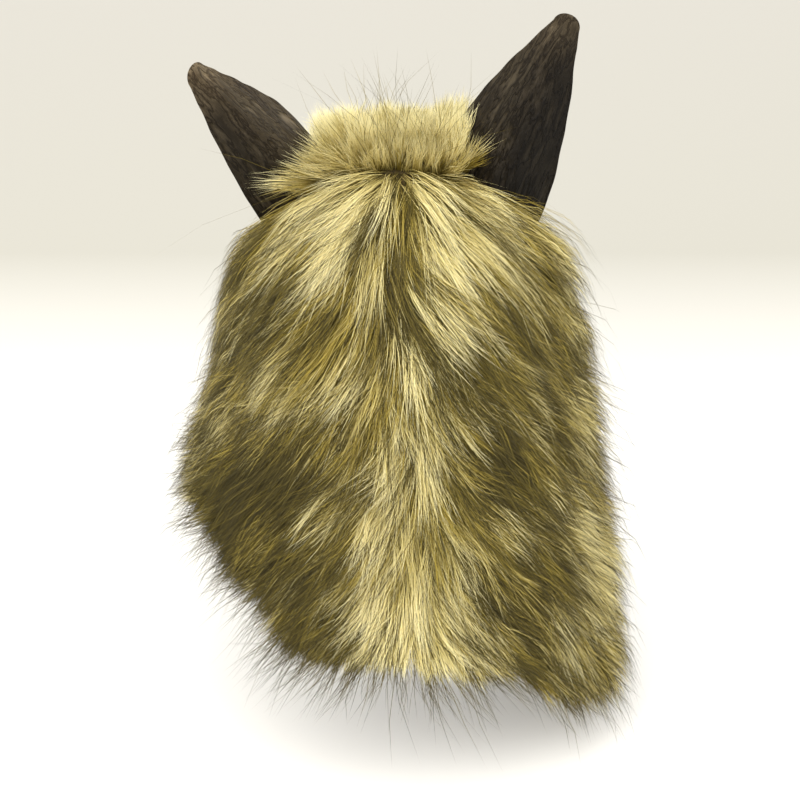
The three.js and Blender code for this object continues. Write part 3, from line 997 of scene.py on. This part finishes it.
def nap_turn(angle, row):
    """The lie of the pile at signed angles, turned from straight down, positive towards +X."""
    parting = np.interp(head_column("z", row) / MM, PARTING[:, 0], PARTING[:, 1])
    degrees = np.degrees(angle) - parting
    spread = np.abs(degrees) * np.minimum(head_column("side", row) / NAP_RADIUS, 1)
    crown = np.interp(spread, NAP[:, 0], NAP[:, 1])
    hem = np.interp(spread, NAP[:, 0], NAP[:, 2])
    turn = crown + (hem - crown) * row / LAST_ROW
    level = np.clip(head_frame(angle, row)[2][..., Z], 0, 1)
    fanned = np.interp(np.abs(degrees), *NAP_FAN) * level
    return np.sign(degrees) * np.radians(turn - fanned)


def fur_rows(angle, side):
    """The rows of HEAD where the back fur starts and ends, at unsigned angles."""
    degrees = np.degrees(angle)
    hem = np.interp(degrees, FUR_EDGES[:, 0], FUR_EDGES[:, 2 if side < 0 else 3])
    return np.interp(degrees, FUR_EDGES[:, 0], FUR_EDGES[:, 1]), row_at(hem * MM)


def back_roots(side, count):
    """Unsigned angles and rows of clumps spread evenly over one side of the back."""
    u, v = even_pairs(ROOT_TRIES * count, start=0.31 + 0.1 * side)
    angle = u * np.radians(FUR_EDGES[-1, 0])
    top, hem = fur_rows(angle, side)
    top = top - np.interp(u, *ROOTS_ABOVE)
    row = top + (hem - ROOTS_ABOVE_HEM - top) * v
    around, down, _ = head_frame(angle, row)
    area = np.linalg.norm(around, axis=-1) * np.linalg.norm(down, axis=-1) * (hem - top)
    kept = np.flatnonzero(RNG.random(len(u)) < area / area.max())[:count]
    return angle[kept], row[kept]


def wander(places, size, seed):
    """Smooth noise from about -1 to 1 at places, with swells of a size."""
    return np.array([noise.noise(Vector(p) / size + Vector((seed, 0, 0))) for p in places])


def back_paths(angle, row, turn_by):
    """The middle line of each clump as it lies on the head, with the ways across it and out of the head."""
    angles = np.empty((len(angle), PATH_STEPS + 1))
    rows = np.empty_like(angles)
    turns = np.empty_like(angles)
    for j in range(PATH_STEPS + 1):
        turn = nap_turn(angle, row) + turn_by
        angles[:, j], rows[:, j], turns[:, j] = angle, row, turn
        around, down, _ = head_frame(angle, row)
        angle = angle + np.sin(turn) * PATH_STEP / np.linalg.norm(around, axis=-1)
        row = np.minimum(row + np.cos(turn) * PATH_STEP / np.linalg.norm(down, axis=-1), LAST_ROW)
    around, down, out = head_frame(angles, rows)
    lie = unit(down) * np.cos(turns)[..., None] + unit(around) * np.sin(turns)[..., None]
    return {
        "line": head_surface(angles, rows),
        "across": unit(np.cross(lie, out)),
        "out": out,
        "angle": angles,
        "row": rows,
    }


def sweep(across, share, start, width, reach):
    """How far clumps of the crown belong to a sweep, from 0 to 1."""
    return np.clip((across - start) / width, 0, 1) * np.clip(1 - share / reach, 0, 1)


def crown_paths(x, y):
    """The middle line of each clump of the crown: upright, swept over the left ear and out at the right."""
    row = crown_rows(x, y)
    angle = np.arctan2(x, -y)
    _, _, out = head_frame(angle, row)
    share = np.clip((y - CROWN_CENTRE) / CROWN_HALF[1] / 2 + 0.5, 0, 1)
    wide = x / CROWN_HALF[0]
    wing = sweep(-wide, share, *WING)
    fall = sweep(wide, share, *FALL)
    fan = np.where(wide < 0, *CROWN_FAN) * wide
    lean = np.stack([fan, CROWN_LEAN * share + CROWN_LEAN_REAR, np.zeros_like(x)], -1)
    lean = lean + wing[:, None] * WING_LEAN + fall[:, None] * FALL_LEAN
    grow = unit(out * CROWN_OUT + lean + RNG.normal(0, CROWN_LOOSE, (len(x), 3)))
    distance = np.arange(PATH_STEPS + 1) * PATH_STEP
    bend = (1 + wing + FALL_DROOP * fall)[:, None, None]
    droop = DROOP * (distance[:, None] / DROOP_LENGTH) ** 2 * DROOP_DEPTH * MM
    line = head_surface(angle, row)[:, None] + grow[:, None] * distance[None, :, None] + droop[None] * bend
    across = unit(np.cross(grow, CROWN_FACING))
    over = unit(np.cross(across, grow))
    shape = (len(x), PATH_STEPS + 1, 3)
    return {
        "line": line,
        "across": np.broadcast_to(across[:, None], shape),
        "out": np.broadcast_to(over[:, None], shape),
        "wing": wing,
    }


def places_across(count):
    """Where hairs lie across their clump, mostly from -1 to 1."""
    return np.clip(RNG.normal(0, ACROSS_SPREAD, count), -ACROSS_LIMIT, ACROSS_LIMIT)


def lay_strands(paths, clump, begin, beside, spread, drift, length, lift, wave, phase, half_width):
    """Points along each hair, and half its width there as a vector; beside is its place across its clump."""
    t = np.linspace(0, 1, STRAND_POINTS)[None]
    distance = (begin[:, None] + length[:, None] * t) / PATH_STEP
    k = np.clip(distance.astype(int), 0, PATH_STEPS - 1)
    share = (distance - k)[..., None]

    def along(name):
        values = paths[name]
        first = values[clump[:, None], k]
        return first + (values[clump[:, None], k + 1] - first) * share

    across, out = along("across"), along("out")
    curl = wave[:, None] * np.sin(2 * np.pi * (phase[:, None] + CURL_TURNS * t)) * t
    gather = (beside * spread)[:, None] * (1 - CLUMPING * t ** GATHER_POWER)
    sideways = gather + (drift * length)[:, None] * t ** DRIFT_POWER + curl
    height = ROOT_HEIGHT + lift[:, None] * (1 - (1 - t) ** RISE_POWER)
    points = along("line") + across * sideways[..., None] + out * height[..., None]
    taper = half_width[:, None] * np.sqrt(np.clip(1 - t ** TAPER_POWER, 0, 1))
    roll = (RNG.normal(0, ROLL, len(clump)) - ROUNDNESS * beside)[:, None, None]
    broad = across * np.cos(roll) + out * np.sin(roll)
    return points, broad * taper[..., None]


def within_reach(points):
    """Which hairs stay close enough to the solids' outer limits."""
    low, high = np.array(cad_low) - STRAY_REACH, np.array(cad_high) + STRAY_REACH
    return np.all((points > low) & (points < high), axis=(1, 2))


def strand_mesh(name, points, half, tone):
    """One mesh of flat tapering hairs, with each hair's tone and its length in the UV map."""
    count, last = len(points), STRAND_POINTS - 1
    edges = np.stack([points[:, :last] - half[:, :last], points[:, :last] + half[:, :last]], 2)
    vertices = np.concatenate([edges.reshape(count, 2 * last, 3), points[:, last:]], 1)
    quads = [(2 * p, 2 * p + 1, 2 * p + 3, 2 * p + 2) for p in range(last - 1)]
    corners = np.array([c for quad in quads for c in quad] + [2 * last - 2, 2 * last - 1, 2 * last])
    starts = np.append(np.arange(last - 1) * 4, (last - 1) * 4)
    mesh = bpy.data.meshes.new(name)
    mesh.vertices.add(count * (2 * last + 1))
    mesh.vertices.foreach_set("co", vertices.astype(np.float32).ravel())
    loops = corners[None] + (2 * last + 1) * np.arange(count)[:, None]
    mesh.loops.add(loops.size)
    mesh.loops.foreach_set("vertex_index", loops.astype(np.int32).ravel())
    mesh.polygons.add(count * last)
    begins = starts[None] + len(corners) * np.arange(count)[:, None]
    mesh.polygons.foreach_set("loop_start", begins.astype(np.int32).ravel())
    mesh.update(calc_edges=True)
    along = np.repeat(np.arange(last), 2) / last
    along = np.append(along, 1.0)[corners]
    beside = np.append(np.tile((-MAP_HALF_WIDTH, MAP_HALF_WIDTH), last), 0.0)[corners]
    uv = np.stack([tone[:, None] + beside[None], np.broadcast_to(along, (count, len(along)))], -1)
    layer = mesh.uv_layers.new(name=FUR_MAP)
    layer.uv.foreach_set("vector", uv.astype(np.float32).ravel())
    mesh.polygons.foreach_set("use_smooth", np.ones(count * last, bool))
    obj = bpy.data.objects.new(name, mesh)
    bpy.context.scene.collection.objects.link(obj)
    return obj


def on_pile(around, down, turn):
    """Distances beside and along the pile, from those round the head and down it."""
    return around * np.cos(turn) - down * np.sin(turn), around * np.sin(turn) + down * np.cos(turn)


def streaks(beside, along, width, length, seed):
    """Smooth noise drawn out along the pile."""
    return wander(np.stack([beside / width, along / length, np.zeros_like(along)], -1), 1, seed)


def back_tone(angle, row):
    """How pale the fur is, from 0 to 1, at signed angles: pale at the top, with streaks and patches."""
    degrees = np.degrees(angle)
    turn = nap_turn(angle, row)
    depth = head_column("z", row) / MM
    tone = np.interp(degrees, *BACK_TONE)
    tone += TOP_PALER * np.exp(-(depth / TOP_DEPTH) ** 2)
    for middle, height, reach, length, change in PATCHES:
        beside, along = on_pile(np.radians(degrees - middle) * HEAD_RADIUS_MM, height - depth, turn)
        tone += change * np.exp(-(beside / reach) ** 2 - (along / length) ** 2)
    beside, along = on_pile(angle * HEAD_RADIUS_MM, -depth, turn)
    broad = streaks(beside, along, *BROAD_STREAKS)
    narrow = streaks(beside, along, *NARROW_STREAKS)
    return tone + BROAD_STRENGTH * broad + np.interp(np.abs(degrees), *NARROW_STRENGTH) * narrow


def back_clumps(side):
    """The clumps of one side of the back, from the top down: paths, and what the hairs of each share."""
    angle, row = back_roots(side, BACK_CLUMPS)
    order = np.argsort(row)
    angle, row = side * angle[order], row[order]
    clear = clear_of_ears(head_surface(angle, row))
    angle, row = angle[clear], row[clear]
    places = head_surface(angle, row)
    count = len(angle)
    degrees = np.degrees(np.abs(angle))
    middle = np.interp(degrees, *MIDDLE)
    turn_by = BROAD_SWIRL * wander(places, *BROAD_SWELLS)
    turn_by += (NARROW_SWIRL + MIDDLE_SWIRL * middle) * wander(places, *NARROW_SWELLS)
    paths = back_paths(angle, row, np.radians(turn_by + RNG.normal(0, LOOSE_SWIRL, count)))
    tone = back_tone(paths["angle"][:, TONE_STATION], paths["row"][:, TONE_STATION])
    tone += RNG.normal(0, CLUMP_TONE, count)
    dark = RNG.random(count) < np.interp(tone, *DARK_CLUMPS)
    tone = np.where(dark, RNG.uniform(*DARK_CLUMP_TONE, count), tone + PALE_CLUMP_TONE)
    flank = np.interp(degrees, *FLANK_ROUND) * np.interp(row - FLANK_START[side], *FLANK_DOWN)
    shoulder = np.interp(degrees, *SHOULDER_ROUND) * np.interp(row, *SHOULDER_DOWN)
    long = PILE_LENGTH * (1 + LENGTH_CHANGE * wander(places, *LENGTH_SWELLS))
    long *= RNG.uniform(*CLUMP_LENGTH, count)
    long *= np.where(dark, DARK_LONGER, 1)
    high = (PILE_HEIGHT + FLANK_HEIGHT * flank + SHOULDER_HEIGHT[side] * shoulder) * MM
    high *= 1 + HEIGHT_CHANGE * wander(places, *HEIGHT_SWELLS)
    high *= RNG.uniform(*CLUMP_HEIGHT, count) * np.where(dark, DARK_HIGHER, 1)
    spread = RNG.uniform(*CLUMP_WIDTH, count) * MM * np.where(dark, DARK_NARROWER, 1)
    wave = RNG.normal(0, CLUMP_WAVE, count)
    phase = RNG.random(count)
    hem = head_column("z", fur_rows(np.abs(angle), side)[1])
    fringe = MM * np.interp(side * degrees, *HEM_FRINGE)
    reach = (head_column("z", row) - hem) / np.cos(nap_turn(angle, row)) + fringe
    shared = {"tone": tone, "middle": middle, "long": long, "high": high}
    shared |= {"spread": spread, "wave": wave, "phase": phase, "reach": reach}
    return paths, shared


def back_strands(paths, clump, tone, middle, long, high, spread, wave, phase, reach):
    """Points, half widths and tones of hairs, given the clump of each and what that clump shares."""
    count = len(clump)
    beside = places_across(count)
    deep = RNG.random(count) ** DEEP_POWER
    guard = RNG.random(count) < np.interp(tone, *GUARD_HAIRS)
    stray = RNG.random(count) < np.interp(reach, *STRAY_HAIRS)
    begin = RNG.uniform(0, HAIR_START, count)
    length = long * np.where(guard, RNG.uniform(*GUARD_LENGTH, count), RNG.uniform(*WOOL_LENGTH, count))
    limit = np.maximum(reach - begin, HAIR_LEAST) * RNG.uniform(*HEM_UNEVEN, count)
    longest = np.interp(reach, *STRAY_LENGTH) * (1 + STRAY_MIDDLE * middle)
    length = np.minimum(length, limit) * np.where(stray, RNG.uniform(STRAY_LEAST_LENGTH, longest), 1)
    length *= np.where(RNG.random(count) < SHORT_HAIRS, SHORT_LENGTH, 1)
    lift = high * (1 - DEEP_LOWER * deep) * (1 - CLUMP_ROUND * beside ** 2)
    lift *= np.where(stray, RNG.uniform(*STRAY_HEIGHT, count), np.where(guard, GUARD_HEIGHT, 1))
    pale = np.clip(tone + RNG.normal(0, HAIR_TONE, count), *PALE_LIMITS)
    # Painted shade: deep hairs near the hem take a dark tone, like the shadow under the locks
    shade_under_hem = (reach < HEM_SHADE_REACH) & (deep > HEM_SHADE_DEPTH)
    hair_tone = np.where(guard | stray | shade_under_hem, RNG.uniform(*DARK_HAIR_TONE, count), pale)
    points, wide = lay_strands(
        paths,
        clump,
        begin=begin,
        beside=beside,
        spread=spread,
        drift=RNG.normal(0, HAIR_DRIFT, count),
        length=length,
        lift=lift,
        wave=wave + RNG.normal(0, np.where(stray, STRAY_WAVE, HAIR_WAVE), count) * MM,
        phase=phase + RNG.normal(0, OUT_OF_STEP, count),
        half_width=np.where(guard, RNG.uniform(*GUARD_WIDTH, count), RNG.uniform(*WOOL_WIDTH, count)) * MM,
    )
    kept = within_reach(points) & np.all(clear_of_ears(points[:, 1:]), axis=1)
    return points[kept], wide[kept], np.clip(hair_tone[kept], *TONE_LIMITS)


def grow_back(side, name, node, material):
    paths, shared = back_clumps(side)
    count = len(shared["tone"])
    for part, half in (("upper", np.arange(count // 2)), ("lower", np.arange(count // 2, count))):
        clump = RNG.choice(half, BACK_HAIRS // 2)
        strands = back_strands(paths, clump, **{key: values[clump] for key, values in shared.items()})
        fur = strand_mesh(f"{name}_{part}", *strands)
        finish_piece(fur, material, "gold_fur", node)


def crown_roots():
    """Places of the crown's clumps, spread evenly over a rounded rectangle and clear of the ears."""
    u, v = even_pairs(2 * CROWN_CLUMPS, start=0.5)
    x, y = 2 * u - 1, 2 * v - 1
    inside = np.abs(x) ** CROWN_SQUARENESS + np.abs(y) ** CROWN_SQUARENESS < 1
    kept = np.flatnonzero(inside)[:CROWN_CLUMPS]
    x = x[kept] * np.where(x[kept] < 0, 1, CROWN_RIGHT) * CROWN_HALF[0]
    y = y[kept] * CROWN_HALF[1] + CROWN_CENTRE
    clear = clear_of_ears(head_surface(np.arctan2(x, -y), crown_rows(x, y)))
    return x[clear], y[clear]


def grow_crown(material):
    x, y = crown_roots()
    clumps = len(x)
    paths = crown_paths(x, y)
    ridge = np.stack([x, np.zeros_like(x), np.zeros_like(x)], -1)
    uneven = 1 + CROWN_LENGTH_CHANGE * wander(ridge, CROWN_SWELLS, seed=6.3)
    tall = np.interp(x / CROWN_HALF[0], *CROWN_LENGTH)
    tall *= uneven * RNG.uniform(*CROWN_CLUMP_LENGTH, clumps) * (1 + WING_LONGER * paths["wing"])
    shade = CROWN_TONE_CHANGE * wander(np.stack([x, y, y], -1), CROWN_SWELLS, seed=4.4)
    shade += RNG.normal(0, CROWN_CLUMP_TONE, clumps)
    shade += np.interp(x, *CROWN_LEFT_TONE)
    # Painted shade: the rear clumps are darker, like the tuft's shaded base
    shade -= np.interp(y, *CROWN_REAR_SHADE)
    spread = RNG.uniform(*CROWN_CLUMP_WIDTH, clumps) * MM
    wave = RNG.normal(0, CROWN_WAVE, clumps)
    phase = RNG.random(clumps)
    count = CROWN_HAIRS
    clump = RNG.integers(0, clumps, count)
    guard = RNG.random(count) < CROWN_GUARD
    most, least, middle, reach = CROWN_STRAYS
    stray = RNG.random(count) < most * np.exp(-((x[clump] - middle) / reach) ** 2) + least
    tone = RNG.normal(*CROWN_TONE, count) + shade[clump]
    tone = np.where(guard | stray, RNG.uniform(*CROWN_DARK_TONE, count), tone)
    points, wide = lay_strands(
        paths,
        clump,
        begin=np.zeros(count),
        beside=places_across(count),
        spread=spread[clump],
        drift=RNG.normal(0, CROWN_DRIFT, count) + np.where(stray, RNG.normal(0, STRAY_DRIFT, count), 0),
        length=tall[clump] * np.where(
            stray, RNG.uniform(*CROWN_STRAY_LENGTH, count), RNG.uniform(*CROWN_WOOL_LENGTH, count)
        ),
        lift=RNG.normal(0, CROWN_LIFT, count),
        wave=wave[clump] + RNG.normal(0, CROWN_HAIR_WAVE, count),
        phase=phase[clump] + RNG.normal(0, OUT_OF_STEP, count),
        half_width=np.where(stray, CROWN_STRAY_WIDTH, RNG.uniform(*CROWN_WOOL_WIDTH, count)) * MM,
    )
    kept = np.all(clear_of_ears(points[:, 1:]), axis=1)
    fur = strand_mesh("crown_fur_hair", points[kept], wide[kept], np.clip(tone[kept], *TONE_LIMITS))
    finish_piece(fur, material, "pale_fur", "crown_fur")


# Backings

def wrapped_sheet(name, columns, rows, place_at):
    """A cloth wall on the head: a grid whose corners, from 0 to 1 each way, go where place_at says."""
    bpy.ops.mesh.primitive_grid_add(x_subdivisions=columns, y_subdivisions=rows, size=1)
    sheet = added(name)
    corners = np.array([vertex.co for vertex in sheet.data.vertices])[:, :2] + 0.5
    places, out = place_at(corners[:, 0], corners[:, 1])
    sheet.data.vertices.foreach_set("co", (places + out * BACKING_GAP).astype(np.float32).ravel())
    sheet.data.update()
    facing = sum(p.normal.dot(Vector(out[p.vertices[0]])) for p in sheet.data.polygons)
    if facing < 0:
        sheet.data.flip_normals()
    apply_modifier(sheet, "SOLIDIFY", thickness=BACKING_WALL, offset=1, use_rim=True)
    return sheet


def model_back_backing(side, name, node, material):
    def place_at(u, v):
        angle = u * np.radians(FUR_EDGES[-1, 0])
        top, hem = fur_rows(angle, side)
        row = top + (hem - top) * v
        places = head_surface(side * angle, row)
        places[:, X] += side * SEAM_GAP * (u < SAME_PLACE)
        return places, head_frame(side * angle, row)[2]

    sheet = wrapped_sheet(name, columns=30, rows=36, place_at=place_at)
    finish_piece(sheet, material, "gold_fur", node)


def model_crown_backing(material):
    def place_at(u, v):
        x, y = 2 * u - 1, 2 * v - 1
        reach = CROWN_HALF[0] * np.where(x < 0, np.interp(y, *CROWN_LEFT), CROWN_RIGHT)
        disc_x = x * np.sqrt(1 - y * y / 2) * reach
        disc_y = y * np.sqrt(1 - x * x / 2) * CROWN_HALF[1] + CROWN_CENTRE
        row = crown_rows(disc_x, disc_y)
        angle = np.arctan2(disc_x, -disc_y)
        return head_surface(angle, row), head_frame(angle, row)[2]

    sheet = wrapped_sheet("crown_backing", columns=21, rows=21, place_at=place_at)
    finish_piece(sheet, material, "pale_fur", "crown_fur")


# Stage

FLOOR = cad_low.z - 4 * MM
# How far behind the object the floor's colour still changes, with its painted light and painted falloff
FLOOR_FADE = 2
# Lights: name, place, what it is aimed at, width, power, colour
LIGHTS = (
    ("softbox", (-0.7, -1.2, 1.7), (0, 0, -0.15), 2.6, 50, (1, 0.98, 0.94)),
    ("fill", (1.5, -0.9, 1.2), (0, 0, -0.25), 1.8, 12, (1, 1, 1)),
)
CAMERA_TARGET = Vector((3, 0, -160)) * MM
CAMERA_DISTANCE = 1.3
CAMERA_ELEVATION = math.radians(27)
PHOTO_PIXELS = 800
PIXEL_SIZE = 0.631 * MM


def make_floor():
    bpy.ops.mesh.primitive_plane_add(size=14, location=(0, 0, FLOOR))
    floor = added("floor")
    material, tree, shader = new_material("pale_floor")
    away = axis_share(tree, own_place(tree), "Y", low=0, high=FLOOR_FADE)
    # Paler near the object, painted light that lightens its shadow, and darker behind it, a painted falloff
    # of the light
    colour = ramp(tree, away, [
        (0.17, (0.88, 0.865, 0.825, 1)),
        (0.38, (0.6, 0.585, 0.52, 1)),
        (0.85, (0.7, 0.68, 0.62, 1)),
    ])
    tree.links.new(colour, shader.inputs["Base Color"])
    # A faint glow near the object, painted light that lifts the shadow under it
    shadow_lifting_glow = ramp(tree, away, [(0.17, grey(0.12)), (0.38, grey(0))])
    tree.links.new(shadow_lifting_glow, shader.inputs["Emission Color"])
    set_inputs(shader, {"Emission Strength": 1, "Roughness": 0.9, "Specular IOR Level": 0.1})
    floor.data.materials.append(material)


def make_light(name, place, target, size, power, colour):
    light = bpy.data.lights.new(name, "AREA")
    light.shape = "DISK"
    light.size = size
    light.energy = power
    light.color = colour
    obj = bpy.data.objects.new(name, light)
    bpy.context.scene.collection.objects.link(obj)
    obj.location = place
    obj.rotation_euler = (Vector(target) - Vector(place)).to_track_quat("-Z", "Y").to_euler()


def make_lights():
    for light in LIGHTS:
        make_light(*light)
    world = bpy.data.worlds.new("studio")
    world.use_nodes = True
    set_inputs(world.node_tree.nodes["Background"], {"Color": (1, 0.985, 0.96, 1), "Strength": 0.95})
    bpy.context.scene.world = world
    bpy.context.scene.view_settings.view_transform = "Standard"


def make_camera():
    camera = bpy.data.objects.new("camera", bpy.data.cameras.new("camera"))
    bpy.context.scene.collection.objects.link(camera)
    back = Vector((0, -math.cos(CAMERA_ELEVATION), math.sin(CAMERA_ELEVATION)))
    camera.location = CAMERA_TARGET + back * CAMERA_DISTANCE
    camera.rotation_euler = (-back).to_track_quat("-Z", "Y").to_euler()
    camera.data.lens = camera.data.sensor_width * CAMERA_DISTANCE / (PHOTO_PIXELS * PIXEL_SIZE)
    bpy.context.scene.camera = camera


# Assembly

# Each kind of hair from root to tip: the darker colour at the root is painted shade deep in the pile, the
# rest is the hair's own colour
DARK_HAIR = [
    (0, srgb(48, 42, 19)),
    (0.35, srgb(78, 70, 35)),
    (0.65, srgb(48, 43, 23)),
    (1, srgb(16, 15, 10)),
]
GOLD_HAIR = [
    (0, srgb(70, 60, 26)),
    (0.3, srgb(146, 127, 51)),
    (0.75, srgb(175, 155, 70)),
    (1, srgb(108, 96, 48)),
]
CREAM_HAIR = [
    (0, srgb(102, 90, 45)),
    (0.25, srgb(196, 179, 106)),
    (0.6, srgb(236, 222, 156)),
    (1, srgb(252, 245, 199)),
]
# The back's two panels: side, the backing's flat size in metres and its area in square metres
PANELS = {
    "left": (-1, (0.24, 0.3), 0.055),
    "right": (1, (0.26, 0.36), 0.072),
}

make_camera()
make_lights()
make_floor()

latex = latex_material("wrinkled_latex", own_place, head_colours_and_painted_shade, line_length=22)
ear_latex = latex_material("wrinkled_ear_latex", moulded_place, ear_painted_light, line_length=6.25)
fur = fur_material("long_pile_fur", [DARK_HAIR, GOLD_HAIR, CREAM_HAIR])
backing = backing_material()

head_block = model_latex_head(latex)
for ear_name in EARS:
    model_ear(ear_name, head_block, ear_latex)
bpy.data.objects.remove(head_block)

for panel, (side, flat, area) in PANELS.items():
    model_back_backing(side, f"back_backing_{panel}", f"back_fur_{panel}", backing)
model_crown_backing(backing)
for panel, (side, *_) in PANELS.items():
    grow_back(side, f"back_hair_{panel}", f"back_fur_{panel}", fur)
grow_crown(fur)
